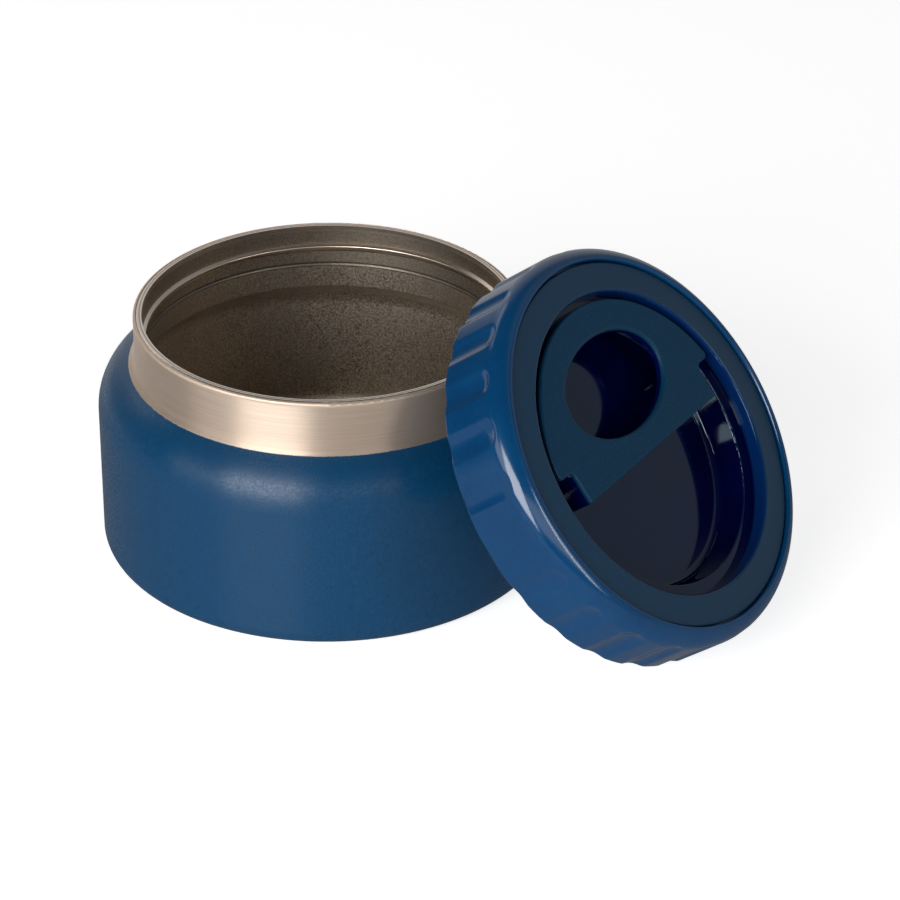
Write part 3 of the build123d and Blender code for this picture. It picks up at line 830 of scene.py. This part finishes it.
def build_cap_tree():
    """Geometry nodes: turn a section about Z, then press round-topped flutes into its outside."""
    tree, ends_in, ends_out = start_shape_tree("fluted_cap", [
        ("Section", SHAPE, None),
        ("Section Points", WHOLE, 10),
        ("Turn Steps", WHOLE, 100),
        ("Flutes", WHOLE, 25),
        ("Flute Radius", FLOAT, 0.008),
        ("Flute Centre", FLOAT, 0.054),
        ("Flute Top", FLOAT, -0.005),
        ("First Flute", FLOAT, 0.0),
        ("Softness", FLOAT, 0.0004),
    ])
    points = ends_in.outputs["Section Points"]
    grid = add_node(tree, "GeometryNodeMeshGrid", {
        "Vertices X": calc(tree, "ADD", ends_in.outputs["Turn Steps"], 1.0),
        "Vertices Y": calc(tree, "ADD", points, 1.0),
    })
    place = add_node(tree, "GeometryNodeInputPosition").outputs[0]
    spot = split_place(tree, place)
    turn = calc(tree, "MULTIPLY", calc(tree, "ADD", spot["X"], 0.5), 2 * pi)
    row = calc(tree, "ROUND", calc(tree, "MULTIPLY", calc(tree, "ADD", spot["Y"], 0.5), points))
    section = add_node(tree, "GeometryNodeSampleIndex", {
        "Geometry": ends_in.outputs["Section"],
        "Value": place,
        "Index": calc(tree, "FLOORED_MODULO", row, points),
    }, data_type="FLOAT_VECTOR")
    split = split_place(tree, section.outputs[0])
    radius = add_node(tree, "ShaderNodeMath", {
        0: split["X"],
        1: press_flutes(tree, ends_in, turn, split["Z"]),
        2: ends_in.outputs["Softness"],
    }, operation="SMOOTH_MIN").outputs[0]
    wall = add_node(tree, "ShaderNodeCombineXYZ", {
        "X": calc(tree, "MULTIPLY", radius, calc(tree, "COSINE", turn)),
        "Y": calc(tree, "MULTIPLY", radius, calc(tree, "SINE", turn)),
        "Z": split["Z"],
    })
    inputs = {"Geometry": grid.outputs[0], "Position": wall.outputs[0]}
    formed = add_node(tree, "GeometryNodeSetPosition", inputs)
    inputs = {"Geometry": formed.outputs[0], "Distance": WELD}
    closed = add_node(tree, "GeometryNodeMergeByDistance", inputs)
    return finish_shape_tree(tree, ends_in, ends_out, closed.outputs[0])


def make_fluted_cap():
    """The lid cap with soft-edged flutes, standing for the CAD cap."""
    section = make_cap_section()
    flute_rise = (FLUTE_RADIUS ** 2 - (FLUTE_RADIUS - FLUTE_DEPTH) ** 2) ** 0.5
    piece = bake_tree(
        "fluted_cap", build_cap_tree(), section, LID_MATRIX,
        Section_Points=len(section.vertices), Turn_Steps=FLUTES * STEPS_IN_FLUTE, Flutes=FLUTES,
        Flute_Radius=FLUTE_RADIUS, Flute_Centre=CAP_RADIUS - FLUTE_DEPTH + FLUTE_RADIUS,
        Flute_Top=-FLUTE_START - flute_rise, First_Flute=FIRST_FLUTE, Softness=FLUTE_SOFTNESS,
        Finish=cap_plastic,
    )
    piece.data.set_sharp_from_angle(angle=CAP_SHARP_ANGLE)
    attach(piece, "lid")
    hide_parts("lid_cap")


make_jar_ridge()
make_plug_ridge()
make_fluted_cap()


# ---------------------------------------------------------------- studio

def make_floor_material():
    """Pale floor whose glow differs for the camera, for soft bounces and for mirrored views of it."""
    material = bpy.data.materials.new("pale_floor")
    material.use_nodes = True
    tree = material.node_tree
    tree.nodes.clear()
    path = add_node(tree, "ShaderNodeLightPath").outputs
    back = split_place(tree, add_node(tree, "ShaderNodeTexCoord").outputs["Object"])["Y"]
    mirrored = calc(tree, "MAXIMUM", path["Is Glossy Ray"], path["Is Transmission Ray"])
    far = step_mask(tree, back, *FLOOR_BACK)
    mirrored = calc(tree, "MULTIPLY", mirrored, span(tree, far, FLOOR_MIRRORED_NEAR, FLOOR_MIRRORED_FAR))
    seen = calc(tree, "MULTIPLY", path["Is Camera Ray"], FLOOR_GLOW_SEEN)
    bounced = calc(tree, "MULTIPLY", path["Is Diffuse Ray"], FLOOR_GLOW_DIFFUSE)
    glow = calc(tree, "MAXIMUM", calc(tree, "MAXIMUM", mirrored, seen), bounced)
    colour = span(tree, path["Is Camera Ray"], FLOOR_COLOUR_UNSEEN, FLOOR_COLOUR_SEEN)
    diffuse = add_node(tree, "ShaderNodeBsdfDiffuse", {"Color": colour})
    shine = add_node(tree, "ShaderNodeEmission", {"Color": (*WHITE, 1.0), "Strength": glow})
    both = add_node(tree, "ShaderNodeAddShader", {0: diffuse.outputs[0], 1: shine.outputs[0]})
    add_node(tree, "ShaderNodeOutputMaterial", {"Surface": both.outputs[0]})
    return material


def make_floor():
    """Large pale floor that keeps the object's soft shadow."""
    mesh = bpy.data.meshes.new("studio_floor")
    corners = [(x * FLOOR_REACH, y * FLOOR_REACH, 0) for x, y in ((-1, -1), (1, -1), (1, 1), (-1, 1))]
    mesh.from_pydata(corners, [], [(0, 1, 2, 3)])
    mesh.materials.append(make_floor_material())
    floor = bpy.data.objects.new("studio_floor", mesh)
    bpy.context.scene.collection.objects.link(floor)


def make_world():
    """Dim room that is white to the camera, and holds white paper and a pale card for mirrored rays."""
    world = bpy.data.worlds.new("studio")
    bpy.context.scene.world = world
    world.use_nodes = True
    tree = world.node_tree
    tree.nodes.clear()
    path = add_node(tree, "ShaderNodeLightPath").outputs
    aim = add_node(tree, "ShaderNodeTexCoord").outputs["Generated"]
    split = split_place(tree, aim)
    behind = step_mask(tree, split["Y"], *PAPER_BACK)
    lifted = step_mask(tree, calc(tree, "ADD", split["Z"], split["X"]), *PAPER_FOOT)
    paper = span(tree, calc(tree, "MULTIPLY", behind, lifted), ROOM_MIRRORED, PAPER_MIRRORED)
    card = step_mask(tree, vector_calc(tree, "DOT_PRODUCT", aim, CARD_AIM), *CARD_SPREAD)
    mirrored = calc(tree, "MAXIMUM", paper, span(tree, card, ROOM_MIRRORED, CARD_MIRRORED))
    room = span(tree, step_mask(tree, split["Z"], *ROOM_FADE), ROOM_LOW, ROOM_HIGH)
    in_mirror = calc(tree, "MAXIMUM", path["Is Glossy Ray"], path["Is Transmission Ray"])
    ambient = mix_value(tree, in_mirror, room, mirrored)
    tinted = calc(tree, "MULTIPLY", card, path["Is Glossy Ray"])
    light = add_node(tree, "ShaderNodeBackground", {
        "Color": blend(tree, tinted, WHITE, CARD_TINT),
        "Strength": calc(tree, "MAXIMUM", ambient, path["Is Camera Ray"]),
    })
    add_node(tree, "ShaderNodeOutputWorld", {"Surface": light.outputs[0]})


def add_softbox(name, heading, elevation, width, height, power):
    """Area lamp that faces the object; heading is in degrees to the left of the camera."""
    data = bpy.data.lights.new(name, "AREA")
    data.shape = "RECTANGLE"
    data.size = width
    data.size_y = height
    data.energy = power
    turn = radians(heading)
    rise = radians(elevation)
    offset = Vector((-sin(turn) * cos(rise), -cos(turn) * cos(rise), sin(rise))) * LAMP_DISTANCE
    lamp = bpy.data.objects.new(name, data)
    lamp.location = LAMP_TARGET + offset
    lamp.rotation_euler = (-offset).to_track_quat("-Z", "Y").to_euler()
    bpy.context.scene.collection.objects.link(lamp)


def place_camera():
    """Long-lens camera above the front edge, turned a little to the right and rolled a little."""
    ahead = Vector((0, cos(CAMERA_PITCH), -sin(CAMERA_PITCH)))
    up = Vector((0, sin(CAMERA_PITCH), cos(CAMERA_PITCH)))
    right = Vector((1, 0, 0))
    view = cos(CAMERA_TURN) * ahead + sin(CAMERA_TURN) * right
    side = cos(CAMERA_TURN) * right - sin(CAMERA_TURN) * ahead
    across = cos(CAMERA_ROLL) * side + sin(CAMERA_ROLL) * up
    above = cos(CAMERA_ROLL) * up - sin(CAMERA_ROLL) * side
    matrix = Matrix((across, above, -view)).transposed().to_4x4()
    matrix.translation = Vector((0, 0, CAMERA_AIM_HEIGHT)) - ahead * CAMERA_DISTANCE
    data = bpy.data.cameras.new("camera")
    data.sensor_width = CAMERA_SENSOR
    data.lens = CAMERA_LENS
    data.clip_start = CAMERA_CLIP
    camera = bpy.data.objects.new("camera", data)
    camera.matrix_world = matrix
    bpy.context.scene.collection.objects.link(camera)
    bpy.context.scene.camera = camera


make_floor()
make_world()
for name, sizes in SOFTBOXES.items():
    add_softbox(name, *sizes)
place_camera()

bpy.context.scene.view_settings.view_transform = "Standard"
